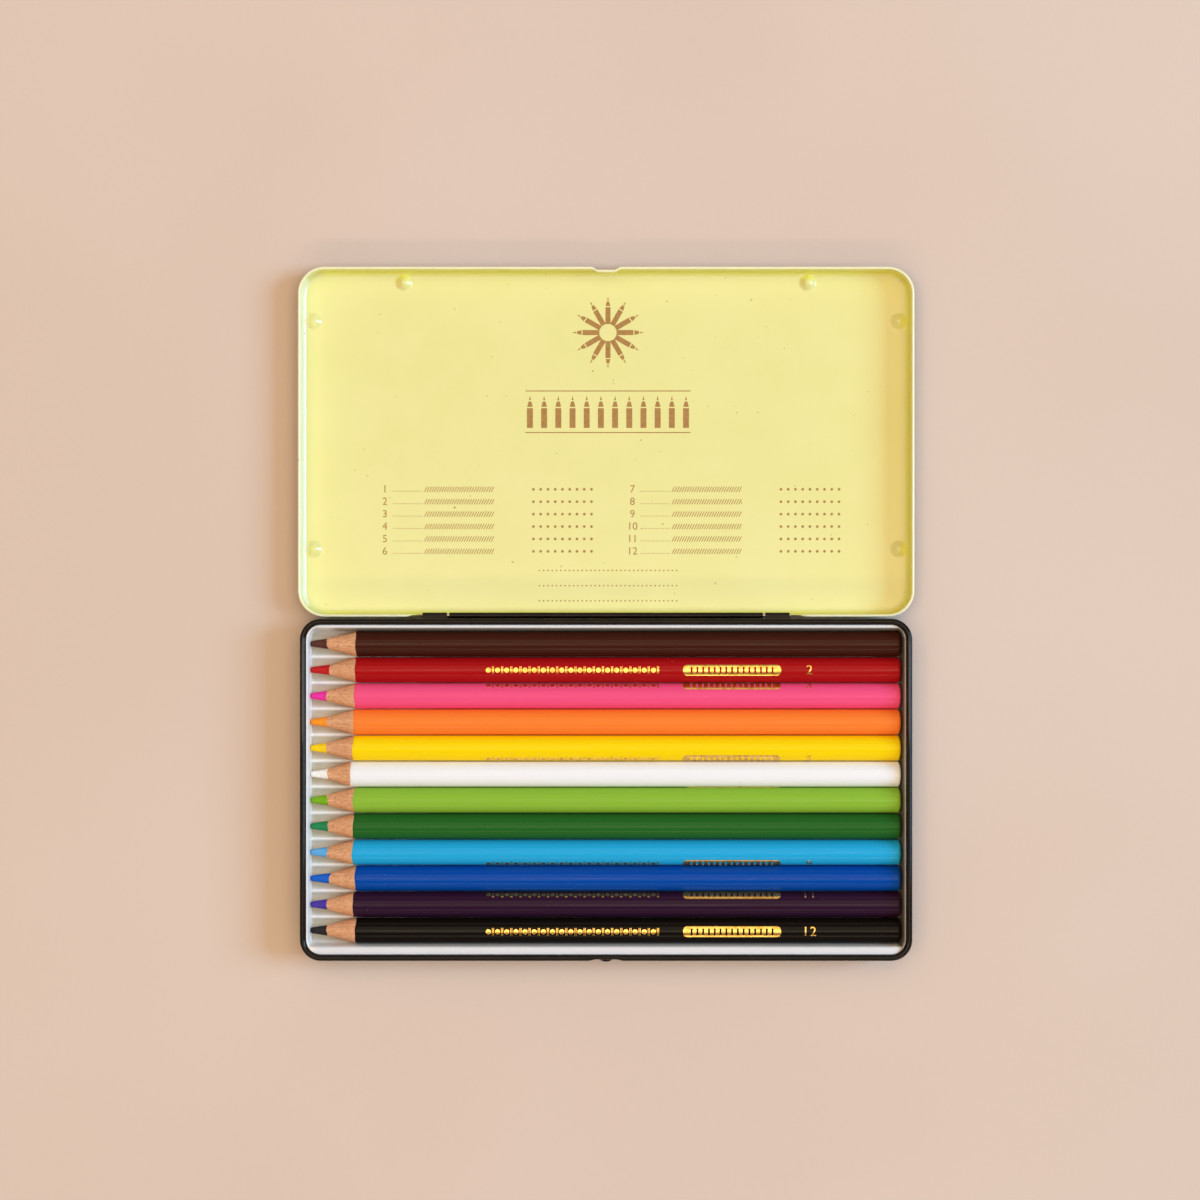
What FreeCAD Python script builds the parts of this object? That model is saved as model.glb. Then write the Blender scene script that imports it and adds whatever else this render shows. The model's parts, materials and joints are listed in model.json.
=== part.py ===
import FreeCAD, Part
import math
import os

Vector = FreeCAD.Vector
origin = Vector(0, 0, 0)
along_x = Vector(1, 0, 0)
along_z = Vector(0, 0, 1)

# A hinged pencil tin, opened flat: the base holds a fluted tray with a row of round pencils.
# Millimetres. The origin is the centre of the base's underside, +Y points to the hinge, +Z is up.

# Pencils, from the hinge to the front
pencil_colours = (
    "brown", "red", "pink", "orange", "yellow", "white",
    "yellow_green", "green", "light_blue", "blue", "purple", "black",
)
pencil_diameter = 7.7
pencil_length = 177.8
pencil_gap = 0.15
core_diameter = 3.2
lead_tip_diameter = 1.66
lead_tip_bevel = 0.2
bare_lead_length = 5.0
wood_cone_length = 8.3
lacquer_coat = 0.1
end_dome_height = 1.1
# Turn of each pencil's glue line, as a share of a half turn
glue_line_shares = (0.12, 0.55, 0.31, 0.83, 0.22, 0.64, 0.40, 0.93, 0.05, 0.47, 0.72, 0.28)

# Fluted tray
tray_wall = 0.35
groove_clearance = 0.1
ridge_height = 2.2
tip_gap = 0.4
blunt_end_gap = 0.6
rear_ledge_width = 1.8
front_ledge_width = 2.6
ledge_drop = 1.3
tray_gap = 0.1
tray_seat_gap = 0.05

# Sheet metal of base and lid
sheet = 0.3

# Base pan, with a rolled bead turned inwards
rim_over_pencils = 3.0
base_corner_radius = 6.3
base_floor_radius = 1.5
bead_diameter = 1.75
bead_turn = math.radians(290)

# Lid pan, with a hem turned outwards
lid_headroom = 2.2
lid_side_clearance = 0.2
lid_end_clearance = 0.62
hem_diameter = 0.85
lid_corner_ease = 0.85
lid_floor_radius = 1.8
rim_over_axis = 0.5

# Dimples pressed into the lid, placed as shares of the lid's half sizes
dimple_radius = 2.5
dimple_height = 1.5
dimple_inset = 3.2
side_dimple_shares = (-0.70, 0.61)
front_dimple_shares = (-0.66, 0.66)

# Dents at the middle of the front, where the lid's rim passes the base's bead
dent_width = 9.0
dent_floor_width = 4.8
base_dent_depth = 0.45
base_dent_extra_width = 1.6
base_dent_rise = 3.0
base_dent_below_rim = 0.5
dent_clearance = 0.15

# Nub under the closed lid's dent
nub_width = 4.3
nub_reach = 0.95
nub_height = 1.6
nub_round = 0.5
nub_gap = 0.1

# Hinge: a long loop on the lid between two short loops on the base
pin_diameter = 0.96
pin_clearance = 0.07
pin_overhang = 0.2
loop_gap_to_base = 0.13
lid_loop_length = 94.2
base_loop_length = 7.3
loop_spacing = 0.7
notch_clearance = 0.1
notch_end_gap = 0.5
notch_slope_length = 4.5

# How far a cutting shape runs past what it cuts
overrun = 1.0

# Sizes that follow from those above
pencil_radius = pencil_diameter / 2
pencil_pitch = pencil_diameter + pencil_gap
groove_radius = pencil_radius + groove_clearance
row_length = pencil_length + tip_gap + blunt_end_gap
row_width = (len(pencil_colours) - 1) * pencil_pitch + 2 * groove_radius
tray_length = row_length + 2 * tray_wall
tray_width = row_width + rear_ledge_width + front_ledge_width
row_rear = tray_width / 2 - rear_ledge_width
row_front = row_rear - row_width
pencil_ys = [row_rear - groove_radius - index * pencil_pitch for index in range(len(pencil_colours))]
tray_bottom = sheet + tray_seat_gap
pencil_z = tray_bottom + tray_wall + groove_radius
ridge_z = tray_bottom + tray_wall + ridge_height
tip_x = tip_gap - row_length / 2

base_length = tray_length + 2 * (tray_gap + bead_diameter)
base_width = tray_width + 2 * (tray_gap + bead_diameter)
base_height = pencil_z + pencil_radius + rim_over_pencils
tray_top = base_height - ledge_drop
tray_corner_radius = base_corner_radius - bead_diameter - tray_gap

closed_height = base_height + lid_headroom + sheet
lid_length = base_length + 2 * (lid_side_clearance + hem_diameter)
lid_width = base_width + 2 * (lid_end_clearance + hem_diameter)
lid_corner_radius = base_corner_radius + hem_diameter + lid_corner_ease
hinge_z = closed_height / 2
lid_depth = hinge_z + rim_over_axis
closed_rim_z = closed_height - lid_depth

base_dent_top = closed_rim_z - base_dent_below_rim
base_dent_foot = base_dent_top - base_dent_rise
lid_dent_depth = lid_end_clearance + base_dent_depth - dent_clearance

pin_radius = pin_diameter / 2
bore_radius = pin_radius + pin_clearance
loop_radius = bore_radius + sheet
hinge_y = base_width / 2 + loop_gap_to_base + loop_radius
base_loop_start = lid_loop_length / 2 + loop_spacing
base_loop_end = base_loop_start + base_loop_length
notch_floor_z = hinge_z - loop_radius - notch_clearance


def section_arc(centre_u, centre_z, radius, start, end):
    angles = (start, (start + end) / 2, end)
    points = [Vector(0, centre_u + radius * math.cos(a), centre_z + radius * math.sin(a)) for a in angles]
    return Part.Arc(*points).toShape()


def section_line(start, end):
    return Part.makeLine(Vector(0, *start), Vector(0, *end))


def base_section(dent):
    # Rim section of the base: u runs inwards from the outer face, z up.
    # The dent moves the upper wall inwards and narrows the bead, whose inner edge stays where it was.
    bead_radius = (bead_diameter - dent) / 2
    bead_u = dent + bead_radius
    bead_z = base_height - bead_radius
    bead_end = math.pi - bead_turn
    bead_inside = bead_radius - sheet
    outer_tip = (bead_u + bead_radius * math.cos(bead_end), bead_z + bead_radius * math.sin(bead_end))
    inner_tip = (bead_u + bead_inside * math.cos(bead_end), bead_z + bead_inside * math.sin(bead_end))
    corner = base_floor_radius
    return Part.Wire([
        section_arc(corner, corner, corner, -math.pi / 2, -math.pi),
        section_line((0, corner), (0, base_dent_foot)),
        section_line((0, base_dent_foot), (dent, base_dent_top)),
        section_line((dent, base_dent_top), (dent, bead_z)),
        section_arc(bead_u, bead_z, bead_radius, math.pi, math.pi / 2),
        section_arc(bead_u, bead_z, bead_radius, math.pi / 2, 0),
        section_arc(bead_u, bead_z, bead_radius, 0, bead_end),
        section_line(outer_tip, inner_tip),
        section_arc(bead_u, bead_z, bead_inside, bead_end, 0),
        section_arc(bead_u, bead_z, bead_inside, 0, math.pi / 2),
        section_arc(bead_u, bead_z, bead_inside, math.pi / 2, math.pi),
        section_line((dent + sheet, bead_z), (dent + sheet, base_dent_top)),
        section_line((dent + sheet, base_dent_top), (sheet, base_dent_foot)),
        section_line((sheet, base_dent_foot), (sheet, corner)),
        section_arc(corner, corner, corner - sheet, -math.pi, -math.pi / 2),
        section_line((corner, sheet), (corner, 0)),
    ])


def lid_section(dent):
    # Rim section of the lid, floor down: the hem lies outside the wall. The dent leans the wall inwards.
    hem_radius = hem_diameter / 2
    hem_u = dent + hem_radius
    hem_z = lid_depth - hem_radius
    wall_u = hem_diameter - sheet
    meet = -math.acos((wall_u - hem_radius) / hem_radius)
    meet_z = hem_z + hem_radius * math.sin(meet)
    corner = lid_floor_radius
    corner_u = wall_u + corner
    return Part.Wire([
        section_arc(corner_u, corner, corner, -math.pi / 2, -math.pi),
        section_line((wall_u, corner), (wall_u + dent, meet_z)),
        section_arc(hem_u, hem_z, hem_radius, meet, -math.pi),
        section_arc(hem_u, hem_z, hem_radius, math.pi, math.pi / 2),
        section_arc(hem_u, hem_z, hem_radius, math.pi / 2, 0),
        section_line((hem_diameter + dent, hem_z), (hem_diameter, corner)),
        section_arc(corner_u, corner, corner - sheet, -math.pi, -math.pi / 2),
        section_line((corner_u, sheet), (corner_u, 0)),
    ])


def rounded_plate(length, width, corner_radius, bottom, top):
    # Flat plate with round corners, centred on the origin
    plate = Part.makeBox(length, width, top - bottom, Vector(-length / 2, -width / 2, bottom))
    uprights = [edge for edge in plate.Edges if abs(edge.tangentAt(edge.FirstParameter).z) > math.sqrt(0.5)]
    return plate.makeFillet(corner_radius, uprights)


def placed(shape, x, y, angle):
    moved = shape.copy()
    moved.rotate(origin, along_z, angle)
    moved.translate(Vector(x, y, 0))
    return moved


def joined(pieces):
    return pieces[0].multiFuse(pieces[1:]).removeSplitter()


def pan(section, length, width, corner_radius, floor_edge, dent, width_over_dent, width_of_floor):
    # Pan drawn from sheet: one rim section goes round the outline, with a dent in the middle of the front
    reach_x = length / 2 - corner_radius
    reach_y = width / 2 - corner_radius
    plain_wire = section(0)
    dented_wire = section(dent)
    for wire in (plain_wire, dented_wire):
        wire.translate(Vector(0, -corner_radius, 0))
    plain = Part.Face(plain_wire)
    dented = Part.Face(dented_wire)
    bend = plain.revolve(origin, along_z, 90)
    side_run = plain.extrude(along_x * (2 * reach_y))
    rear_run = plain.extrude(along_x * (2 * reach_x))
    half_dent = width_over_dent / 2
    half_floor = width_of_floor / 2
    front_run = plain.extrude(along_x * (reach_x - half_dent))
    pieces = [
        placed(bend, reach_x, -reach_y, 0),
        placed(side_run, reach_x, -reach_y, 90),
        placed(bend, reach_x, reach_y, 90),
        placed(rear_run, reach_x, reach_y, 180),
        placed(bend, -reach_x, reach_y, 180),
        placed(side_run, -reach_x, reach_y, 270),
        placed(bend, -reach_x, -reach_y, 270),
        placed(front_run, -reach_x, -reach_y, 0),
        placed(front_run, half_dent, -reach_y, 0),
        placed(dented.extrude(along_x * width_of_floor), -half_floor, -reach_y, 0),
    ]
    for side in (-1, 1):
        outer = placed(plain_wire, side * half_dent, -reach_y, 0)
        inner = placed(dented_wire, side * half_floor, -reach_y, 0)
        pieces.append(Part.makeLoft([outer, inner], True, True))
    floor_length = length - 2 * floor_edge
    floor_width = width - 2 * floor_edge
    pieces.append(rounded_plate(floor_length, floor_width, corner_radius - floor_edge, 0, sheet))
    return joined(pieces)


def hinge_rod(radius, start_x, end_x):
    return Part.makeCylinder(radius, end_x - start_x, Vector(start_x, hinge_y, hinge_z), along_x)


def make_base_pan():
    base = pan(
        base_section, base_length, base_width, base_corner_radius, base_floor_radius, base_dent_depth,
        dent_width + base_dent_extra_width, dent_floor_width + base_dent_extra_width,
    )
    # Two short loops, each from a tongue of the rear wall that runs out over the pin and round it
    tongue_start = base_width / 2 - sheet / 2
    loops = []
    for start in (-base_loop_end, base_loop_start):
        loops.append(hinge_rod(loop_radius, start, start + base_loop_length))
        corner = Vector(start, tongue_start, hinge_z + bore_radius)
        loops.append(Part.makeBox(base_loop_length, hinge_y - tongue_start, sheet, corner))
    # Nub: a segment of an upright disc with rounded rims, set into the dented front wall
    disc_radius = ((nub_width / 2) ** 2 + nub_reach ** 2) / (2 * nub_reach)
    nub_bottom = closed_rim_z - nub_gap - nub_height
    nub_front = -base_width / 2 - nub_reach
    disc = Part.makeCylinder(disc_radius, nub_height, Vector(0, nub_front + disc_radius, nub_bottom), along_z)
    rims = [edge for edge in disc.Edges if isinstance(edge.Curve, Part.Circle)]
    disc = disc.makeFillet(nub_round, rims)
    front = Part.makeBox(
        2 * disc_radius, nub_reach + base_dent_depth, nub_height, Vector(-disc_radius, nub_front, nub_bottom),
    )
    return joined([base, disc.common(front)] + loops).cut(
        hinge_rod(bore_radius, -base_loop_end - overrun, base_loop_end + overrun)
    )


def dimple_places():
    inset_x = lid_length / 2 - hem_diameter - dimple_inset
    inset_y = lid_width / 2 - hem_diameter - dimple_inset
    places = [(side * inset_x, share * lid_width / 2) for side in (-1, 1) for share in side_dimple_shares]
    return places + [(share * lid_length / 2, -inset_y) for share in front_dimple_shares]


def make_lid_pan():
    # Made over the base with its floor down and its front at -Y, then turned round behind the hinge
    lid = pan(
        lid_section, lid_length, lid_width, lid_corner_radius, hem_diameter - sheet + lid_floor_radius,
        lid_dent_depth, dent_width, dent_floor_width,
    )
    ball_radius = (dimple_radius ** 2 + dimple_height ** 2) / (2 * dimple_height)
    ball_z = sheet + dimple_height - ball_radius
    inside = Part.makeBox(lid_length, lid_width, lid_depth, Vector(-lid_length / 2, -lid_width / 2, sheet))
    domes = []
    hollows = []
    for x, y in dimple_places():
        domes.append(Part.makeSphere(ball_radius, Vector(x, y, ball_z)).common(inside))
        hollows.append(Part.makeSphere(ball_radius - sheet, Vector(x, y, ball_z)))
    # Notch in the rear rim with sloped ends, which gives the hinge loops room
    notch_foot = base_loop_end + notch_end_gap
    notch_top_z = lid_depth + overrun
    notch_slope = notch_slope_length / (lid_depth - notch_floor_z)
    notch_head = notch_foot + notch_slope * (notch_top_z - notch_floor_z)
    notch_corners = (
        (-notch_foot, notch_floor_z), (notch_foot, notch_floor_z),
        (notch_head, notch_top_z), (-notch_head, notch_top_z), (-notch_foot, notch_floor_z),
    )
    wall_inside = lid_width / 2 - hem_diameter
    notch_start = wall_inside - overrun
    outline = Part.makePolygon([Vector(x, notch_start, z) for x, z in notch_corners])
    notch = Part.Face(outline).extrude(Vector(0, hem_diameter + 2 * overrun, 0))
    # The wall goes on up to the long loop between the base's loops
    loop_middle_radius = (bore_radius + loop_radius) / 2
    tab_foot_z = lid_floor_radius
    tab = Part.makeBox(
        lid_loop_length, sheet, hinge_z - loop_middle_radius - tab_foot_z,
        Vector(-lid_loop_length / 2, wall_inside, tab_foot_z),
    )
    loop = hinge_rod(loop_radius, -lid_loop_length / 2, lid_loop_length / 2)
    bore = hinge_rod(bore_radius, -base_loop_end - overrun, base_loop_end + overrun)
    lid = joined([lid.cut(notch)] + domes + [tab, loop]).cut(Part.makeCompound(hollows + [bore]))
    lid.rotate(origin, along_z, 180)
    lid.translate(Vector(0, 2 * hinge_y, 0))
    return lid


def make_hinge_pin():
    pin_end = base_loop_end + pin_overhang
    return hinge_rod(pin_radius, -pin_end, pin_end)


def groove_rods(radius, length):
    rods = [Part.makeCylinder(radius, length, Vector(-length / 2, y, pencil_z), along_x) for y in pencil_ys]
    return rods[0].multiFuse(rods[1:])


def make_tray():
    # Thin formed sheet: the outer shape less the space above it, with the ledges hollow underneath
    block = rounded_plate(tray_length, tray_width, tray_corner_radius, ridge_z - tray_wall, tray_top)
    outline = rounded_plate(tray_length, tray_width, tray_corner_radius, tray_bottom, ridge_z)
    flutes = groove_rods(groove_radius + tray_wall, tray_length).common(outline)
    room = rounded_plate(
        row_length, tray_width - 2 * tray_wall, tray_corner_radius - tray_wall,
        tray_bottom, tray_top + overrun,
    )
    above_ridges = Part.makeBox(
        row_length, row_width, tray_top + overrun - ridge_z, Vector(-row_length / 2, row_front, ridge_z),
    )
    space = groove_rods(groove_radius, row_length).fuse(above_ridges).common(room)
    ledge_length = tray_length - 2 * tray_corner_radius
    ledge_hollows = (
        (row_rear + tray_wall, tray_width / 2 - tray_wall),
        (tray_wall - tray_width / 2, row_front - tray_wall),
    )
    hollow_height = tray_top - tray_wall - tray_bottom
    hollows = [
        Part.makeBox(ledge_length, rear - front, hollow_height, Vector(-ledge_length / 2, front, tray_bottom))
        for front, rear in ledge_hollows
    ]
    return block.fuse(flutes).removeSplitter().cut(Part.makeCompound([space] + hollows))


def turned(profile, start_angle, angle):
    # Solid of revolution about the pencil's axis from (x, radius) corners
    points = [Vector(x, 0, radius) for x, radius in profile]
    face = Part.Face(Part.makePolygon(points + points[:1]))
    face.rotate(origin, along_x, start_angle)
    return face.revolve(origin, along_x, angle)


def make_pencil(glue_line_share):
    core_radius = core_diameter / 2
    wood_radius = pencil_radius - lacquer_coat
    tip_radius = lead_tip_diameter / 2
    lead_end = tip_x + bare_lead_length
    cone_end = lead_end + wood_cone_length
    blunt_x = tip_x + pencil_length
    wood_end = blunt_x - end_dome_height
    core = turned((
        (tip_x, 0), (tip_x, tip_radius - lead_tip_bevel), (tip_x + lead_tip_bevel, tip_radius),
        (lead_end, core_radius), (wood_end, core_radius), (wood_end, 0),
    ), 0, 360)
    slat = (
        (lead_end, core_radius), (cone_end, wood_radius),
        (wood_end, wood_radius), (wood_end, core_radius),
    )
    glue_line = 180 * glue_line_share
    # The coat is cut on the same slope as the wood, and its dipped end is a shallow dome
    slope = (wood_radius - core_radius) / wood_cone_length
    coat_start = Vector(cone_end, 0, wood_radius)
    coat_edge = Vector(cone_end + lacquer_coat / slope, 0, pencil_radius)
    shoulder = Vector(wood_end, 0, pencil_radius)
    crown = Vector(blunt_x, 0, 0)
    dome_radius = (pencil_radius ** 2 + end_dome_height ** 2) / (2 * end_dome_height)
    half_angle = math.asin(pencil_radius / dome_radius) / 2
    dome_centre_x = blunt_x - dome_radius
    middle = Vector(dome_centre_x + dome_radius * math.cos(half_angle), 0, dome_radius * math.sin(half_angle))
    inner_crown = Vector(wood_end, 0, 0)
    inner_shoulder = Vector(wood_end, 0, wood_radius)
    coat_outline = Part.Wire([
        Part.makeLine(coat_start, coat_edge),
        Part.makeLine(coat_edge, shoulder),
        Part.Arc(shoulder, middle, crown).toShape(),
        Part.makeLine(crown, inner_crown),
        Part.makeLine(inner_crown, inner_shoulder),
        Part.makeLine(inner_shoulder, coat_start),
    ])
    return {
        "core": core,
        "upper_slat": turned(slat, glue_line, 180),
        "lower_slat": turned(slat, glue_line + 180, 180),
        "lacquer": Part.Face(coat_outline).revolve(origin, along_x, 360),
    }


nodes = {
    "base_pan": make_base_pan(),
    "lid_pan": make_lid_pan(),
    "hinge_pin": make_hinge_pin(),
    "fluted_tray": make_tray(),
}
for colour, y, share in zip(pencil_colours, pencil_ys, glue_line_shares):
    for piece, shape in make_pencil(share).items():
        shape.translate(Vector(0, y, pencil_z))
        nodes[f"{colour}_pencil_{piece}"] = shape

os.makedirs("parts", exist_ok=True)
for name, shape in nodes.items():
    shape.exportStep(f"parts/{name}.step")
    print(name, "valid" if shape.isValid() else "NOT VALID", len(shape.Solids), round(shape.Volume, 3))
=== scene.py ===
import bmesh
import bpy
import json
import math
from mathutils import Matrix, Vector


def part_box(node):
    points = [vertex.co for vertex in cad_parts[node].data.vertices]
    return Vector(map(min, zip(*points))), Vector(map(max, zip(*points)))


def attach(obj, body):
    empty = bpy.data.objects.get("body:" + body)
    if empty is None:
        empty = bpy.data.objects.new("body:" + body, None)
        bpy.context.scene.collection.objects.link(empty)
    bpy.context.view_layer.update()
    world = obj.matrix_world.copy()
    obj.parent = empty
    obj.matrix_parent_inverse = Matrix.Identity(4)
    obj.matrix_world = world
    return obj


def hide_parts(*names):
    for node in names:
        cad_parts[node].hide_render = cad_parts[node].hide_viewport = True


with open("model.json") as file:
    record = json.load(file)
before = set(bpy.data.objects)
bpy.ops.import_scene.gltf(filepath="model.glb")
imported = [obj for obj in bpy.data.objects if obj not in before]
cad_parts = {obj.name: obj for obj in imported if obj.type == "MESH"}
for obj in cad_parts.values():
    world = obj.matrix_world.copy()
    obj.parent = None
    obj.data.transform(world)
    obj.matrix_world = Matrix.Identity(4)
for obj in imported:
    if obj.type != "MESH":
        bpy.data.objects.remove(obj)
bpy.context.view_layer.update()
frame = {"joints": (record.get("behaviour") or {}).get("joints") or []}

mm = 0.001  # pieces are worked out in millimetres and stored in metres
pencilColours = [
    "brown", "red", "pink", "orange", "yellow", "white",
    "yellow_green", "green", "light_blue", "blue", "purple", "black",
]


# Small helpers

def mixed(a, b, share):
    return a + (b - a) * share


def eased(start, end, value):
    share = min(max((value - start) / (end - start), 0), 1)
    return share * share * (3 - 2 * share)


def arc(centre, radius, start, end, steps):
    angles = [math.radians(mixed(start, end, i / steps)) for i in range(steps + 1)]
    return [(centre[0] + radius * math.cos(a), centre[1] + radius * math.sin(a)) for a in angles]


def nodeBox(node):
    low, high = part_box(node)
    return low / mm, high / mm


def placed(name, data):
    made = bpy.data.objects.new(name, data)
    bpy.context.scene.collection.objects.link(made)
    return made


def plainMesh(holder):
    # final mesh of a text or of an object with live modifiers, which is then removed
    mesh = bpy.data.meshes.new_from_object(holder.evaluated_get(bpy.context.evaluated_depsgraph_get()))
    bpy.data.objects.remove(holder)
    return mesh


def linear(colour):
    # screen colour from 0 to 255, turned into the linear values that shaders take
    return [((c / 255 + 0.055) / 1.055) ** 2.4 if c > 10 else c / 255 / 12.92 for c in colour] + [1]


def skin(rowCount, rowSize, closeRow, closeLoop):
    faces = []
    for i in range(rowCount if closeLoop else rowCount - 1):
        here = i * rowSize
        there = (i + 1) % rowCount * rowSize
        for j in range(rowSize if closeRow else rowSize - 1):
            k = (j + 1) % rowSize
            faces.append((here + j, there + j, there + k, here + k))
    return faces


class Shape:
    # points and faces of a piece in millimetres, with a finish number on each face
    def __init__(self):
        self.points = []
        self.faces = []
        self.picks = []

    def add(self, points, faces, pick=0):
        start = len(self.points)
        self.points += [tuple(p) for p in points]
        self.faces += [tuple(start + i for i in f) for f in faces]
        self.picks += [pick(f) if callable(pick) else pick for f in range(len(faces))]

    def lofted(self, rows):
        # closed section carried along rows, with both ends capped
        size = len(rows[0])
        faces = skin(len(rows), size, True, False)
        faces.append(tuple(range(size)))
        faces.append(tuple(range((len(rows) - 1) * size, len(rows) * size)))
        self.add([p for row in rows for p in row], faces)

    def piece(self, name, finishes, sharpAngle=35):
        mesh = bpy.data.meshes.new(name)
        mesh.from_pydata([[c * mm for c in p] for p in self.points], [], self.faces)
        mesh.polygons.foreach_set("material_index", self.picks)
        for finish in finishes:
            mesh.materials.append(finish)
        work = bmesh.new()
        work.from_mesh(mesh)
        bmesh.ops.remove_doubles(work, verts=work.verts, dist=0.0005 * mm)
        bmesh.ops.recalc_face_normals(work, faces=work.faces)
        work.to_mesh(mesh)
        work.free()
        mesh.shade_smooth()
        mesh.set_sharp_from_angle(angle=math.radians(sharpAngle))
        return placed(name, mesh)


# Node benches: sums written as Python expressions become Math nodes

def mathNode(operation, turned=False):
    def added(self, other):
        return self.bench.math(operation, *((other, self) if turned else (self, other)))
    return added


class Wire:
    # one socket; each operator used on it adds a Math node
    def __init__(self, bench, socket):
        self.bench = bench
        self.socket = socket

    def at(self, output):
        return Wire(self.bench, self.socket.node.outputs[output])

    __add__ = mathNode("ADD")
    __radd__ = mathNode("ADD", True)
    __sub__ = mathNode("SUBTRACT")
    __rsub__ = mathNode("SUBTRACT", True)
    __mul__ = mathNode("MULTIPLY")
    __rmul__ = mathNode("MULTIPLY", True)
    __truediv__ = mathNode("DIVIDE")
    __rtruediv__ = mathNode("DIVIDE", True)
    __pow__ = mathNode("POWER")
    __rpow__ = mathNode("POWER", True)


class Bench:
    def __init__(self, tree):
        self.tree = tree

    def node(self, kind, settings=None, inputs=None, output=0):
        made = self.tree.nodes.new(kind)
        for key, value in (settings or {}).items():
            setattr(made, key, value)
        for key, value in (inputs or {}).items():
            if isinstance(value, Wire):
                self.tree.links.new(value.socket, made.inputs[key])
            else:
                made.inputs[key].default_value = value
        return Wire(self, made.outputs[output]) if made.outputs else None

    def math(self, operation, *values):
        return self.node("ShaderNodeMath", {"operation": operation}, dict(enumerate(values)))

    def clamp(self, value):
        return self.node("ShaderNodeClamp", None, {"Value": value})

    def step(self, value, start, end):
        # 0 at start, 1 at end, smooth between
        return self.node(
            "ShaderNodeMapRange", {"interpolation_type": "SMOOTHSTEP"},
            {"Value": value, "From Min": start, "From Max": end},
        )

    def seen(self):
        # 1 on rays that show a surface, 0 on those that only light others
        ray = self.node("ShaderNodeLightPath", None, None, "Is Camera Ray")
        shown = self.math("MAXIMUM", ray, ray.at("Is Glossy Ray"))
        return self.math("MAXIMUM", shown, ray.at("Is Transmission Ray"))


class Finish(Bench):
    # one material: patterns on the piece's own coordinates, in millimetres
    def __init__(self, name):
        self.material = bpy.data.materials.new(name)
        self.material.use_nodes = True
        super().__init__(self.material.node_tree)
        self.tree.nodes.clear()
        here = self.node("ShaderNodeTexCoord", None, None, "Object")
        self.place = self.node(
            "ShaderNodeVectorMath", {"operation": "SCALE"}, {0: here, "Scale": 1 / mm},
        )

    def along(self, axis):
        return self.node("ShaderNodeSeparateXYZ", None, {0: self.place}, axis)

    def noise(self, scale, detail=2.0, roughness=0.5, place=None):
        return self.node(
            "ShaderNodeTexNoise", None,
            {"Vector": place or self.place, "Scale": scale, "Detail": detail, "Roughness": roughness},
        )

    def streaks(self, stretch, detail=2.0, roughness=0.5, shift=(0, 0, 0), turn=(0, 0, 0), scale=1.0):
        # noise with a scale of its own on each axis
        place = self.node("ShaderNodeMapping", None, {
            "Vector": self.place, "Location": shift, "Rotation": turn, "Scale": stretch,
        })
        return self.noise(scale, detail, roughness, place)

    def blend(self, first, second, share):
        # tuples are screen colours, lists are linear ones
        first, second = [linear(c) if isinstance(c, tuple) else c for c in (first, second)]
        settings = {"data_type": "RGBA", "clamp_factor": True}
        return self.node("ShaderNodeMix", settings, {0: share, 6: first, 7: second}, 2)

    def bump(self, height, depth):
        return self.node("ShaderNodeBump", None, {"Distance": depth * mm, "Height": height})

    def done(self, colour, roughness, normal, **constants):
        inputs = {"Base Color": colour, "Roughness": roughness, "Normal": normal}
        inputs.update({key.replace("_", " "): value for key, value in constants.items()})
        shader = self.node("ShaderNodeBsdfPrincipled", None, inputs)
        self.node("ShaderNodeOutputMaterial", None, {"Surface": shader})
        return self.material


# Finishes

darkTin = dict(deep=(17, 12, 10), worn=(27, 20, 16), scuff=(104, 94, 86))


def darkTinFinish():
    f = Finish("darkTin")
    cloud = f.noise(0.12, 4)
    peel = f.noise(1.6, 2)
    scratch = f.streaks((0.25, 3.5, 3.5), 3, 0.6, turn=(0, 0, 0.6))
    dustAndShade = f.step(f.noise(4.5, 1), 0.72, 0.80)
    colour = f.blend(darkTin["deep"], darkTin["worn"], f.step(cloud, 0.35, 0.7))
    colour = f.blend(colour, darkTin["scuff"], dustAndShade * 0.35)
    roughness = 0.07 + 0.07 * f.step(scratch, 0.5, 0.75) + 0.25 * dustAndShade
    normal = f.bump(peel + 0.3 * scratch, 0.008)
    return f.done(colour, roughness, normal, Specular_IOR_Level=0.06, Coat_Weight=0.24)


# pairs of numbers say where a tint starts and where it is full, here and in the tray's finish
yellowTin = dict(
    sheet=(233, 228, 152), cloud=(231, 226, 147), speck=(120, 92, 44),
    # the wall colour is painted shade for the walls turned away from the key light; the hem colour is a
    # painted highlight
    wall=(244, 242, 116), hem=(247, 243, 204),
    shadedWallInset=(3.2, 2.8), footZ=(0.33, 0.5), hemHighlightZ=(6.9, 7.2), shadedWallX=(-88.0, -84.0), litWallX=(-90.4, -89.6),
)


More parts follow.
